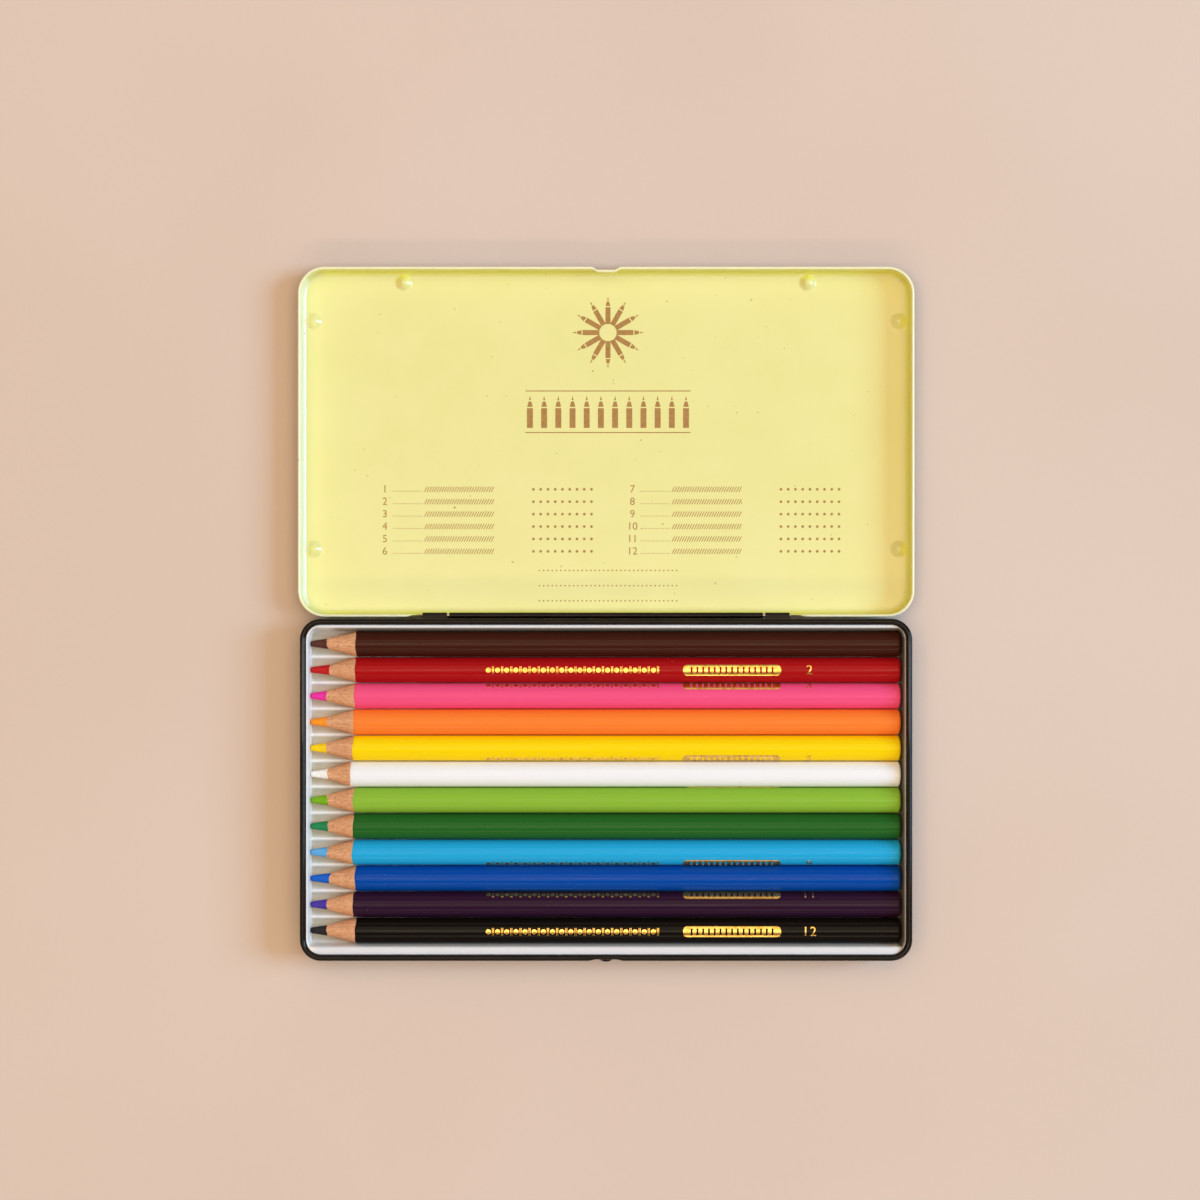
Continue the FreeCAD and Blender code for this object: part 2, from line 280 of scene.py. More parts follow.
def yellowTinFinish():
    t = yellowTin
    f = Finish("yellowTin")
    cloud = f.noise(0.05, 3)
    grain = f.noise(5.0, 2)
    specks = f.step(f.noise(0.62, 2, 0.6), 0.745, 0.765)
    up = f.along("Z")
    across = f.along("X")
    back = f.along("Y")
    # painted shade: the walls to the right, at the thumb dent and at the hinge, which are turned away
    # from the key light, get a deeper, greener yellow; the left wall, which faces the key light, is left
    # out
    start, full = t["shadedWallInset"]
    hingeSide = 4 * hinge.y - lidHigh.y
    wall = f.step(across, lidHigh.x - start, lidHigh.x - full)
    wall = wall + f.step(back, lidHigh.y - start, lidHigh.y - full)
    wall = wall + 1 - f.step(back, hingeSide + full, hingeSide + start)
    foot = f.step(up, *t["footZ"])
    wall = f.clamp(wall) * foot * f.step(across, *t["shadedWallX"])
    # painted light: the left wall, which faces the key light, is made pale
    pale = (1 - f.step(across, *t["litWallX"])) * foot
    colour = f.blend(t["sheet"], t["cloud"], f.step(cloud, 0.35, 0.65))
    colour = f.blend(colour, t["wall"], wall * 0.85)
    # painted highlight: a pale tint along the top of the hem, also laid on the lit left wall
    colour = f.blend(colour, t["hem"], f.clamp(f.step(up, *t["hemHighlightZ"]) + pale) * 0.85)
    colour = f.blend(colour, t["speck"], specks * 0.6)
    height = f.noise(0.9, 2) + 0.2 * grain
    return f.done(colour, 0.13 + 0.06 * grain, f.bump(height, 0.01), Coat_Weight=0.2)


plainTin = dict(sheet=(208, 192, 148), shade=(200, 182, 136))


def plainTinFinish():
    # varnished tinplate on the unseen inside of the base
    f = Finish("varnishedTin")
    drawn = f.streaks((0.15, 6.0, 6.0), 4, 0.6)
    cloud = f.noise(0.2, 3)
    colour = f.blend(plainTin["sheet"], plainTin["shade"], f.step(cloud, 0.3, 0.7))
    return f.done(colour, 0.26 + 0.2 * drawn, f.bump(drawn, 0.01), Metallic=0.85)


drawnWire = dict(bright=(196, 188, 178), stain=(172, 120, 82))


def steelFinish():
    f = Finish("drawnWire")
    lines = f.streaks((0.3, 9.0, 9.0), 3, 0.6)
    stain = f.noise(0.8, 3)
    colour = f.blend(drawnWire["bright"], drawnWire["stain"], f.step(stain, 0.5, 0.75))
    return f.done(colour, 0.22 + 0.2 * lines, f.bump(lines, 0.008), Metallic=1.0)


# the colours for the top ledges, the slope behind the row, the groove bottoms, the far end and the ridge
# tops between pencils are painted shade; the warm white for the wall by the tips is painted light
trayWhite = dict(
    sheet=(238, 238, 238), shade=(231, 231, 230), smudge=(222, 216, 206), ledgeShade=(219, 219, 224),
    tipWallLight=(252, 243, 233), rearSlopeShade=(168, 166, 157), groove=(206, 197, 172), dustAndShade=(112, 98, 78),
    gapShade=(82, 74, 68),
    ledgeX=(-88.0, -86.0), ledgeZ=(9.2, 9.8), tipX=(-88.3, -87.1), slopeX=(-84.0, -80.0),
    slopeFoot=0.3, slopeHead=(1.1, 0.6), grooveShadeZ=(1.4, 3.6), endShadeX=(87.0, 88.6), endShadeZ=(8.2, 9.9),
    gapShadeX=(-62.0, -50.0), gapShadeFoot=(2.5, 2.8), gapShadeHead=(3.3, 3.8),
)


def trayFinish():
    t = trayWhite
    f = Finish("whiteSheet")
    cloud = f.noise(0.09, 3)
    fine = f.noise(3.0, 2)
    smudge = f.step(f.noise(0.35, 3, 0.6), 0.6, 0.8)
    up = f.along("Z")
    across = f.along("X")
    back = f.along("Y")
    # painted shade: the top ledges are greyed, away from the lit end by the tips
    ledgeShade = f.step(up, *t["ledgeZ"]) * f.step(across, *t["ledgeX"])
    # painted light: a warm, bright tint on the end wall by the tips, which faces the key light
    tipWallLight = 1 - f.step(across, *t["tipX"])
    # painted shade: a grey band on the slope behind the row of pencils
    rearShade = f.step(back, trayPlan["RowRear"] - t["slopeFoot"], trayPlan["RowRear"])
    rearShade = rearShade * (1 - f.step(back, *[trayHigh.y - inset for inset in t["slopeHead"]]))
    # painted shade: a beige tint low in the grooves, under the pencils
    low = 1 - f.step(up, *t["grooveShadeZ"])
    # painted shade: dark brown at the far end, where the end wall faces away from the key light, a little
    # weaker up at the rim
    dustAndShade = f.step(across, *t["endShadeX"]) * (1 - 0.3 * f.step(up, *t["endShadeZ"]))
    # painted shade: the ridge tops between the pencils are darkened, away from the tips
    gapShadeMask = f.step(up, *t["gapShadeFoot"]) * (1 - f.step(up, *t["gapShadeHead"])) * f.step(across, *t["gapShadeX"])
    colour = f.blend(t["sheet"], t["shade"], f.step(cloud, 0.3, 0.7))
    tints = dict(
        smudge=smudge * 0.3, ledgeShade=ledgeShade * 0.8, tipWallLight=tipWallLight * 0.9,
        rearSlopeShade=rearShade * f.step(across, *t["slopeX"]), groove=low * (0.65 + 0.3 * cloud),
        dustAndShade=dustAndShade * (0.7 + 0.3 * cloud), gapShade=gapShadeMask * (0.5 + 0.5 * cloud),
    )
    for tint, share in tints.items():
        colour = f.blend(colour, t[tint], share)
    roughness = 0.28 + 0.12 * cloud + 0.1 * smudge
    return f.done(colour, roughness, f.bump(fine + 2 * f.noise(0.5, 2), 0.015))


cedar = dict(pale=(243, 191, 147), warm=(229, 169, 124), ring=(202, 138, 98), pore=(146, 90, 56))


def cedarFinish(name, shift, tone):
    f = Finish(name)
    rings = f.streaks((0.06, 1.3, 0.5), 3, 0.5, shift, (shift[1], 0, 0))
    fibre = f.streaks((0.55, 3.2, 3.2), 3, 0.7, shift)
    pores = f.step(f.streaks((0.6, 3.6, 3.6), 2, 0.6, shift), 0.54, 0.64)
    colour = f.blend(cedar["pale"], cedar["warm"], f.clamp(f.step(rings, 0.3, 0.65) + tone))
    colour = f.blend(colour, cedar["ring"], f.step(fibre, 0.45, 0.65) * 0.65)
    colour = f.blend(colour, cedar["pore"], pores * 0.5)
    cut = f.streaks((5.0, 0.6, 0.6))
    height = fibre + 0.6 * cut - 0.5 * pores
    return f.done(colour, 0.62 + 0.15 * fibre, f.bump(height, 0.06))


def leadFinish(name, colour, shift):
    f = Finish(name)
    body = linear(colour)
    streak = f.streaks((0.6, 5.0, 5.0), 3, 0.6, shift)
    grain = f.streaks((1, 1, 1), shift=shift, scale=4.0)
    dark = [c * 0.84 for c in body[:3]] + [1]
    light = [min(c * 1.12 + 0.005, 1) for c in body[:3]] + [1]
    tint = f.blend(dark, light, f.step(streak, 0.32, 0.66))
    normal = f.bump(streak + 0.7 * grain, 0.05)
    return f.done(tint, 0.42 + 0.25 * grain, normal, Specular_IOR_Level=0.2)


def lacquerFinish(name, colour, shift):
    f = Finish(name)
    body = linear(colour)
    flow = f.streaks((0.008, 1.5, 1.5), shift=shift)
    peel = f.streaks((0.1, 1.3, 1.3), shift=shift)
    dustAndShade = f.step(f.streaks((1, 1, 1), 1, shift=shift, scale=1.6), 0.76, 0.80)
    deep = [c * 0.97 for c in body[:3]] + [1]
    dusty = [min(c + 0.12, 1) for c in body[:3]] + [1]
    tint = f.blend(body, deep, f.step(flow, 0.35, 0.7))
    tint = f.blend(tint, dusty, dustAndShade * 0.4)
    roughness = 0.04 + 0.03 * peel + 0.2 * dustAndShade
    normal = f.bump(flow + 0.05 * peel, 0.03)
    return f.done(tint, roughness, normal, Specular_IOR_Level=0.07, Coat_Weight=0.06)


goldFoil = dict(bright=(250, 212, 116), deep=(224, 176, 82))


def foilFinish():
    f = Finish("goldFoil")
    worn = f.step(f.noise(6.0, 2), 0.62, 0.72)
    cloud = f.noise(0.8, 2)
    colour = f.blend(goldFoil["bright"], goldFoil["deep"], f.step(cloud, 0.35, 0.7))
    return f.done(colour, 0.17 + 0.2 * worn, f.bump(f.noise(5.0, 2), 0.01), Metallic=0.92)


brownInk = dict(full=(174, 127, 60), deep=(160, 112, 50), thin=(214, 176, 104))


def inkFinish():
    f = Finish("brownInk")
    cloud = f.noise(1.4, 3)
    gaps = f.step(f.noise(7.0, 2), 0.60, 0.70)
    colour = f.blend(brownInk["full"], brownInk["deep"], f.step(cloud, 0.35, 0.7))
    colour = f.blend(colour, brownInk["thin"], gaps * 0.5)
    return f.done(colour, 0.42 + 0.1 * cloud, f.bump(cloud, 0.005))


paleFloor = dict(
    paper=(224, 202, 187), cloud=(221, 198, 182), backdrop=(228, 206, 190), fade=(600.0, 1500.0),
)


def floorFinish():
    # paper that fades into the backdrop far from the tin
    f = Finish("paleFloor")
    fibre = f.noise(0.5, 5, 0.6)
    cloud = f.noise(0.006, 2)
    colour = f.blend(paleFloor["paper"], paleFloor["cloud"], f.step(cloud, 0.35, 0.65))
    near = f.node("ShaderNodeBsdfPrincipled", None, {
        "Base Color": colour, "Roughness": 0.85, "Normal": f.bump(fibre, 0.04),
    })
    far = f.node("ShaderNodeEmission", None, {"Color": linear(paleFloor["backdrop"])})
    away = f.node("ShaderNodeVectorMath", {"operation": "LENGTH"}, {0: f.place}, "Value")
    share = f.seen() * f.step(away, *paleFloor["fade"])
    whole = f.node("ShaderNodeMixShader", None, {0: share, 1: near, 2: far})
    f.node("ShaderNodeOutputMaterial", None, {"Surface": whole})
    f.material.cycles.emission_sampling = "NONE"
    return f.material


# Geometry node trees, all worked out in millimetres

class Growth(Bench):
    def __init__(self, name, sizes, finish):
        super().__init__(bpy.data.node_groups.new(name, "GeometryNodeTree"))
        face = self.tree.interface
        face.new_socket("Geometry", in_out="INPUT", socket_type="NodeSocketGeometry")
        for label, value in sizes.items():
            kind = "NodeSocketInt" if isinstance(value, int) else "NodeSocketFloat"
            face.new_socket(label, in_out="INPUT", socket_type=kind)
        face.new_socket("Geometry", in_out="OUTPUT", socket_type="NodeSocketGeometry")
        self.sizes = sizes
        self.finish = finish
        self.entry = self.node("NodeGroupInput")

    def size(self, label):
        return self.entry.at(label)

    def xyz(self, vector=None):
        vector = vector or self.node("GeometryNodeInputPosition")
        return self.node("ShaderNodeSeparateXYZ", None, {0: vector})

    def vector(self, x=0.0, y=0.0, z=0.0):
        return self.node("ShaderNodeCombineXYZ", None, {0: x, 1: y, 2: z})

    def moved(self, geometry, x, y, z):
        spot = self.vector(x, y, z)
        return self.node("GeometryNodeSetPosition", None, {"Geometry": geometry, "Position": spot})

    def row(self, count, pitchX=0.0, pitchY=0.0, startX=0.0, startY=0.0):
        return self.node("GeometryNodeMeshLine", None, {
            "Count": count,
            "Start Location": self.vector(startX, startY), "Offset": self.vector(pitchX, pitchY),
        })

    def disc(self, radius, corners):
        return self.node("GeometryNodeMeshCircle", {"fill_type": "TRIANGLE_FAN"}, {
            "Vertices": corners, "Radius": radius,
        })

    def grid(self, length, width, columns=2, rows=2):
        return self.node("GeometryNodeMeshGrid", None, {
            "Size X": length, "Size Y": width, "Vertices X": columns, "Vertices Y": rows,
        })

    def joined(self, *geometries):
        join = self.tree.nodes.new("GeometryNodeJoinGeometry")
        for geometry in reversed(geometries):
            self.tree.links.new(geometry.socket, join.inputs[0])
        return Wire(self, join.outputs[0])

    def instanced(self, points, instance, **more):
        inputs = {"Points": points, "Instance": instance, **more}
        spread = self.node("GeometryNodeInstanceOnPoints", None, inputs)
        return self.node("GeometryNodeRealizeInstances", None, {0: spread})

    def raised(self, flat, height):
        # flat shape made a thin closed plate
        top = self.node(
            "GeometryNodeExtrudeMesh", None,
            {"Mesh": flat, "Offset": self.vector(0, 0, 1), "Offset Scale": height, "Individual": False},
        )
        plate = self.joined(self.node("GeometryNodeFlipFaces", None, {0: flat}), top)
        return self.node("GeometryNodeMergeByDistance", None, {0: plate, "Distance": 0.0005})

    def close(self, geometry, smooth=True):
        whole = self.node("GeometryNodeRealizeInstances", None, {0: geometry})
        small = self.node("GeometryNodeTransform", None, {"Geometry": whole, "Scale": (mm, mm, mm)})
        shaded = self.node("GeometryNodeSetShadeSmooth", None, {0: small, "Shade Smooth": smooth})
        covered = self.node("GeometryNodeSetMaterial", None, {0: shaded, "Material": self.finish})
        self.node("NodeGroupOutput", None, {0: covered})

    def grown(self, name, mesh=None, thickness=0.0, **changes):
        start = placed(name + "Start", mesh or bpy.data.meshes.new(name + "Start"))
        grow = start.modifiers.new("grow", "NODES")
        grow.node_group = self.tree
        values = {**self.sizes, **changes}
        for item in self.tree.interface.items_tree:
            if item.in_out == "INPUT" and item.name in values:
                grow[item.identifier] = values[item.name]
        if thickness:
            start.modifiers.new("sheet", "SOLIDIFY").thickness = thickness * mm
        plain = plainMesh(start)
        plain.name = name
        return placed(name, plain)


def lettered(words, size, spacing=1.0):
    # flat mesh of plain figures, in millimetres, centred on the origin
    curve = bpy.data.curves.new("figures", "FONT")
    curve.body = words
    curve.size = size
    curve.space_character = spacing
    curve.align_x = "CENTER"
    curve.align_y = "CENTER"
    curve.resolution_u = 6
    return plainMesh(placed("figures", curve))


def flatMesh(parts):
    # several flat meshes moved into place and joined
    work = bmesh.new()
    for mesh, x, y in parts:
        mesh.transform(Matrix.Translation((x, y, 0)))
        work.from_mesh(mesh)
    whole = bpy.data.meshes.new("flat")
    work.to_mesh(whole)
    work.free()
    return whole


# Pans of tinplate: one rim section carried round a rounded outline

fineStep = 0.4
coarseStep = 4.0
cornerSteps = 18
roundSteps = 6  # in the rounding between floor and wall


def stops(reach, windows):
    marks = sorted({-reach, reach} | {mark for window in windows for mark in window})
    places = []
    for start, end in zip(marks, marks[1:]):
        fine = any(low <= (start + end) / 2 <= high for low, high in windows)
        count = math.ceil((end - start) / (fineStep if fine else coarseStep))
        places += [mixed(start, end, i / count) for i in range(count)]
    return places + [reach]


def outline(length, width, corner, windows):
    # stations (side, stop, point, inward) anticlockwise from the front left corner
    stations = []
    half = Vector((length / 2, width / 2))
    for turn, side in enumerate(("front", "right", "rear", "left")):
        along = Matrix.Rotation(turn * math.pi / 2, 2) @ Vector((1, 0))
        inward = Matrix.Rotation(math.pi / 2, 2) @ along
        middle = Vector((-inward.x * half.x, -inward.y * half.y))
        reach = (half.x if turn % 2 == 0 else half.y) - corner
        for stop in stops(reach, windows.get(side, [])):
            stations.append((side, stop, middle + along * stop, inward))
        centre = middle + along * reach + inward * corner
        for step in range(1, cornerSteps):
            way = Matrix.Rotation(step / cornerSteps * math.pi / 2, 2) @ inward
            stations.append(("corner", 0, centre - way * corner, way))
    return stations


def sweptPan(stations, sectionAt, finishOf):
    shape = Shape()
    points = []
    for side, stop, point, inward in stations:
        section = sectionAt(side, stop)
        points += [(*(point + inward * u), z) for u, z in section]
    size = len(section)
    count = len(stations)
    shape.add(points, skin(count, size, False, True), lambda face: finishOf(face % (size - 1)))
    for edge in (0, size - 1):
        shape.faces.append(tuple(i * size + edge for i in range(count)))
    shape.picks += [finishOf(0), finishOf(size - 2)]
    return shape


def rolledStrip(shape, line, startX, endX):
    # strip of sheet that follows a line of (y, z) points, as wide as from startX to endX
    left = []
    right = []
    for i, (y, z) in enumerate(line):
        before = line[max(i - 1, 0)]
        after = line[min(i + 1, len(line) - 1)]
        run = Vector((after[0] - before[0], after[1] - before[1])).normalized()
        left.append((y - run.y * sheet / 2, z + run.x * sheet / 2))
        right.append((y + run.y * sheet / 2, z - run.x * sheet / 2))
    ring = left + right[::-1]
    shape.lofted([[(x, y, z) for y, z in ring] for x in (startX, endX)])


baseLow, baseHigh = nodeBox("base_pan")
lidLow, lidHigh = nodeBox("lid_pan")
hinge = Vector(frame["joints"][0]["pos_m"]) / mm
sheet = 0.3

basePan = dict(
    length=baseHigh.x - baseLow.x, height=baseHigh.z, corner=6.3, floorRound=1.5,
    bead=1.75, curl=290, curlSteps=26, innerSteps=18,
    dent=0.45, dentHalf=5.3, dentFloorHalf=3.0, dentFoot=3.0, dentTop=6.0,
    nubHalf=2.15, nubReach=0.95, nubLow=4.8, nubHigh=6.4, nubBlunt=0.6, nubRows=8,
    loopIn=47.8, loopOut=55.1, loopRadius=0.7, loopTurn=(90, -210), loopSteps=30, loopGap=0.13,
)
# the rear wall stands a hair in front of the loops
basePan["halfWidth"] = hinge.y - basePan["loopRadius"] - sheet / 2 - basePan["loopGap"]


def dentAt(p, side, stop):
    # depth of the pressed dent in the middle of the front
    return p["dent"] * (1 - eased(p["dentFloorHalf"], p["dentHalf"], abs(stop))) if side == "front" else 0


def baseSection(side, stop):
    p = basePan
    dent = dentAt(p, side, stop)
    bead = (p["bead"] - dent) / 2
    centre = (dent + bead, p["height"] - bead)
    corner = (p["floorRound"], p["floorRound"])
    section = arc(corner, p["floorRound"], -90, -180, roundSteps)
    section += [(0, p["dentFoot"]), (dent, p["dentTop"])]
    section += arc(centre, bead, 180, 180 - p["curl"], p["curlSteps"])
    section += arc(centre, bead - sheet, 180 - p["curl"], 180, p["innerSteps"])
    section += [(dent + sheet, p["dentTop"]), (sheet, p["dentFoot"])]
    section += arc(corner, p["floorRound"] - sheet, 180, 270, roundSteps)
    return section


def makeBasePan(dark, bare):
    p = basePan
    windows = {"front": [(-p["dentHalf"], p["dentHalf"])]}
    stations = outline(p["length"], 2 * p["halfWidth"], p["corner"], windows)
    curlEnd = roundSteps + 3 + p["curlSteps"]  # steps on the outside: rounding, wall and curl
    shape = sweptPan(stations, baseSection, lambda step: 0 if step < curlEnd else 1)
    line = [(p["halfWidth"] - sheet, hinge.z + p["loopRadius"])]
    line += arc((hinge.y, hinge.z), p["loopRadius"], *p["loopTurn"], p["loopSteps"])
    for start in (-p["loopOut"], p["loopIn"]):
        rolledStrip(shape, line, start, start + p["loopOut"] - p["loopIn"])
    # pressed nub under the dent, half an ellipsoid with its back in the wall
    middleZ = (p["nubLow"] + p["nubHigh"]) / 2
    wall = -p["halfWidth"] + p["dent"]
    turns = [math.radians(a) for a in range(0, 181, 12)]
    rows = []
    for i in range(p["nubRows"] + 1):
        tilt = math.radians(mixed(-88, 88, i / p["nubRows"]))
        z = middleZ + (p["nubHigh"] - p["nubLow"]) / 2 * math.sin(tilt)
        half = p["nubHalf"] * math.cos(tilt) ** p["nubBlunt"]
        front = (p["nubReach"] + p["dent"]) * math.cos(tilt) ** p["nubBlunt"]
        rows.append([(-half * math.cos(a), wall - front * math.sin(a), z) for a in turns])
    shape.lofted(rows)
    return shape.piece("basePan", [dark, bare])


lidPan = dict(
    length=lidHigh.x - lidLow.x, depth=7.5, corner=8.0, floorRound=1.8, hem=0.85, hemSteps=22,
    band=7.8, bandSteps=14, dent=0.92, dentHalf=4.5, dentFloorHalf=2.4,
    notchHead=60.1, notchFoot=55.6, notchZ=6.05, hemFade=2.2,
    loopHalf=47.1, loopRadius=0.7, loopTurn=(-72, 240), loopSteps=32,
    dimpleRound=2.6, dimpleHeight=1.4, dimpleInset=4.05, dimpleWindow=3.6,
    sideDimples=(-36.85, 32.11), frontDimples=(-61.15, 61.15),
)
lidPan["halfWidth"] = lidHigh.y - 2 * hinge.y


def lidSection(side, stop):
    p = lidPan
    dent = dentAt(p, side, stop)
    top = p["depth"]
    hem = p["hem"] / 2
    if side == "rear":
        share = min(max((p["notchHead"] - abs(stop)) / (p["notchHead"] - p["notchFoot"]), 0), 1)
        top = mixed(p["depth"], p["notchZ"], share)
        hem = mixed(hem, sheet / 2, eased(0, p["hemFade"], p["notchHead"] - abs(stop)))
    outside = p["hem"] - sheet
    centre = (p["hem"] - hem + dent, top - hem)
    meet = -math.degrees(math.acos(max((hem - sheet) / hem, -1)))
    corner = (outside + p["floorRound"], p["floorRound"])
    floor = [mixed(corner[0], p["band"], i / p["bandSteps"]) for i in range(1, p["bandSteps"] + 1)]
    section = [(u, 0) for u in reversed(floor)]
    section += arc(corner, p["floorRound"], -90, -180, roundSteps)
    section += arc(centre, hem, meet, -360, p["hemSteps"])
    section += arc(corner, p["floorRound"] - sheet, 180, 270, roundSteps)
    section += [(u, sheet) for u in floor]
    return section


def dimplePlaces():
    p = lidPan
    sideX = p["length"] / 2 - p["dimpleInset"]
    places = [(side * sideX, y) for side in (-1, 1) for y in p["sideDimples"]]
    return places + [(x, p["dimpleInset"] - p["halfWidth"]) for x in p["frontDimples"]]


def makeLidPan(dark, yellow):
    p = lidPan
    near = p["dimpleWindow"]
    windows = {
        "front": [(-p["dentHalf"], p["dentHalf"])] + [(x - near, x + near) for x in p["frontDimples"]],
        "rear": [(-p["notchHead"], -p["notchFoot"]), (p["notchFoot"], p["notchHead"])],
        "right": [(y - near, y + near) for y in p["sideDimples"]],
        "left": [(-y - near, -y + near) for y in p["sideDimples"]],
    }
    stations = outline(p["length"], 2 * p["halfWidth"], p["corner"], windows)
    hemStart = p["bandSteps"] + roundSteps + 1
    shape = sweptPan(stations, lidSection, lambda step: 0 if step < hemStart else 1)
    pressed = []
    for x, y, z in shape.points:
        keep = 1 - eased(sheet, p["floorRound"], z)
        for dimpleX, dimpleY in dimplePlaces():
            far = math.hypot(x - dimpleX, y - dimpleY) / p["dimpleRound"]
            if far < 1:
                z += keep * p["dimpleHeight"] * (1 - far * far) ** 1.5
        pressed.append((-x, 2 * hinge.y - y, z))  # turned round behind the hinge
    shape.points = pressed
    wallY = hinge.y * 2 - p["halfWidth"] + p["hem"] - sheet / 2
    line = [(wallY, p["notchZ"] - 2 * sheet)]
    line += arc((hinge.y, hinge.z), p["loopRadius"], *p["loopTurn"], p["loopSteps"])
    rolledStrip(shape, line, -p["loopHalf"], p["loopHalf"])
    return shape.piece("lidPan", [dark, yellow])


pinPlan = dict(radius=0.48, half=55.3, round=0.2, steps=24)


def makeHingePin(steel):
    p = pinPlan
    rounded = []
    for a in (0, 30, 60, 90):
        inset = p["round"] * (1 - math.sin(math.radians(a)))
        rounded.append((p["half"] - inset, p["radius"] - p["round"] * (1 - math.cos(math.radians(a)))))
    profile = [(-x, r) for x, r in reversed(rounded)] + rounded
    angles = [math.tau * i / p["steps"] for i in range(p["steps"])]
    shape = Shape()
    shape.lofted([
        [(x, hinge.y + r * math.cos(a), hinge.z + r * math.sin(a)) for a in angles] for x, r in profile
    ])
    return shape.piece("hingePin", [steel])


# Fluted tray: a sheet pressed over a row of grooves

trayHigh = nodeBox("fluted_tray")[1]
traySheet = 0.35
grooveRadius = 3.95
pencilPitch = 7.85
pencilAxisZ = 4.65
pencilRadius = 3.85
pencilBoxes = {colour: nodeBox(colour + "_pencil_lacquer") for colour in pencilColours}
pencilY = {colour: (low.y + high.y) / 2 for colour, (low, high) in pencilBoxes.items()}

trayPlan = dict(
    HalfLength=trayHigh.x, HalfWidth=trayHigh.y, Corner=4.45, Top=trayHigh.z,
    Groove=grooveRadius, Pitch=pencilPitch, AxisZ=pencilAxisZ, RidgeZ=2.9,
    RowStart=pencilY["black"] - pencilPitch / 2, RowFront=pencilY["black"] - grooveRadius,
    RowRear=pencilY["brown"] + grooveRadius,
    RearSlope=6.4, FrontSlope=15.6, EndSlope=20.0, Lip=7.6, Columns=75, Rows=420,
    RidgeRound=0.3, FootRound=1.0, RimRound=0.5,
)


def makeTray(white):
    g = Growth("pressedFlutes", trayPlan, white)
    size = g.size
    grid = g.grid(2.0, 2.0, size("Columns"), size("Rows"))
    # columns stand closer towards the end walls, and the corners are drawn in to a round
    spot = g.xyz()
    u = spot.at("X")
    v = spot.at("Y")
    sideU = g.math("SIGN", u)
    sideV = g.math("SIGN", v)
    farX = (1 - (1 - g.math("ABSOLUTE", u)) ** 3) * size("HalfLength")
    farY = g.math("ABSOLUTE", v) * size("HalfWidth")
    a = g.clamp((farX - size("HalfLength")) / size("Corner") + 1)
    b = g.clamp((farY - size("HalfWidth")) / size("Corner") + 1)
    drawnX = farX - size("Corner") * a * (1 - g.math("SQRT", 1 - b * b / 2))
    drawnY = farY - size("Corner") * b * (1 - g.math("SQRT", 1 - a * a / 2))
    flat = g.moved(grid, sideU * drawnX, sideV * drawnY, 0.0)
    # height of the sheet: grooves, the leaning side walls and the end walls, whichever is highest
    spot = g.xyz()
    x = spot.at("X")
    y = spot.at("Y")
    across = g.math("FLOORED_MODULO", y - size("RowStart"), size("Pitch")) - size("Pitch") / 2
    sag = g.math("SQRT", g.math("MAXIMUM", size("Groove") ** 2 - across * across, 0.0))
    groove = g.math("SMOOTH_MIN", size("AxisZ") - sag, size("RidgeZ"), size("RidgeRound"))
    rear = size("AxisZ") + (y - size("RowRear")) * size("RearSlope")
    front = size("AxisZ") + (size("RowFront") - y) * size("FrontSlope")
    inner = size("Corner") - traySheet
    overX = g.math("ABSOLUTE", x) - size("HalfLength") + traySheet + inner
    overY = g.math("ABSOLUTE", y) - size("HalfWidth") + traySheet + inner
    beyondX = g.math("MAXIMUM", overX, 0.0)
    beyondY = g.math("MAXIMUM", overY, 0.0)
    far = g.math("SQRT", beyondX * beyondX + beyondY * beyondY)
    far = far + g.math("MINIMUM", g.math("MAXIMUM", overX, overY), 0.0) - inner
    ends = size("Top") + far * size("EndSlope")
    walls = g.math("MAXIMUM", g.math("MAXIMUM", rear, front), ends)
    height = g.math("SMOOTH_MAX", groove, walls, size("FootRound"))
    height = g.math("SMOOTH_MIN", height, size("Top"), size("RimRound"))
    pressed = g.moved(flat, x, y, height)
    rim = g.math("COMPARE", g.node("GeometryNodeInputMeshEdgeNeighbors"), 1.0, 0.1)
    lipped = g.node("GeometryNodeExtrudeMesh", {"mode": "EDGES"}, {
        "Mesh": pressed, "Selection": rim, "Offset": g.vector(0, 0, -1.0), "Offset Scale": size("Lip"),
    })
    g.close(lipped)
    return g.grown("flutedTray", thickness=traySheet)


# Pencils: turned pieces with a slightly uneven sharpened end

pencilPlan = dict(
    tip=-89.0, leadEnd=-84.0, coneEnd=-75.7, woodEnd=87.7, blunt=88.8,
    tipRadius=0.83, coreRadius=1.6, woodRadius=3.75, radius=pencilRadius, steps=72, slatSteps=36,
    leadWave=0.28, coatWave=0.3, coatBack=(3.0, 0.6), domeBlunt=0.75,
    tipRound=((0, 0.35), (0.008, 0.6), (0.03, 0.78), (0.06, 0.85)),  # share of the lead, radius
    coatRise=((0.2, 0.07), (0.386, 0.1), (0.8, 0.1), (2.0, 0.1)),  # way from the edge, thickness
)
